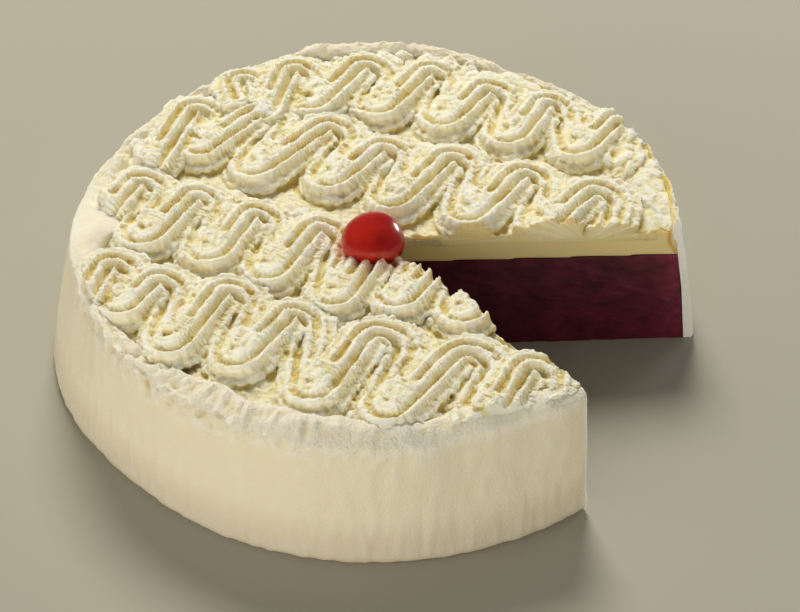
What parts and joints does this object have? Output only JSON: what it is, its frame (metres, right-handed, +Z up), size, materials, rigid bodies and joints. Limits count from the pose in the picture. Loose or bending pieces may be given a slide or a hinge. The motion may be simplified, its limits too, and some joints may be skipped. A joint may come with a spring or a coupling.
{
  "type": "vacherin ice cream cake",
  "caption": "Round frozen dessert cake with rows of piped cream, a side coat and one wedge cut out, showing a dark fruit layer under a pale layer.",
  "frame": {"origin": "centre of the underside of the whole round cake, on the surface it stands on", "axes": "+Z up; the piped rows run roughly along +X; the missing wedge opens between +X and the front right"},
  "size_m": [0.2496, 0.2497, 0.0742],
  "materials": {
    "fruit_sorbet": "frosted dark red",
    "ice_cream": "smooth cut ice cream",
    "side_cream": "smoothed whipped cream",
    "piped_cream": "piped whipped cream",
    "glazed_fruit": "clear glaze over red fruit"
  },
  "bodies": {
    "root": {"fruit_sorbet_layer": "fruit_sorbet", "ice_cream_layer": "ice_cream", "side_coat": "side_cream", "piped_row_rear": "piped_cream", "piped_row_upper": "piped_cream", "piped_row_lower": "piped_cream", "piped_row_front": "piped_cream", "cherry": "glazed_fruit"}
  },
  "joints": []
}
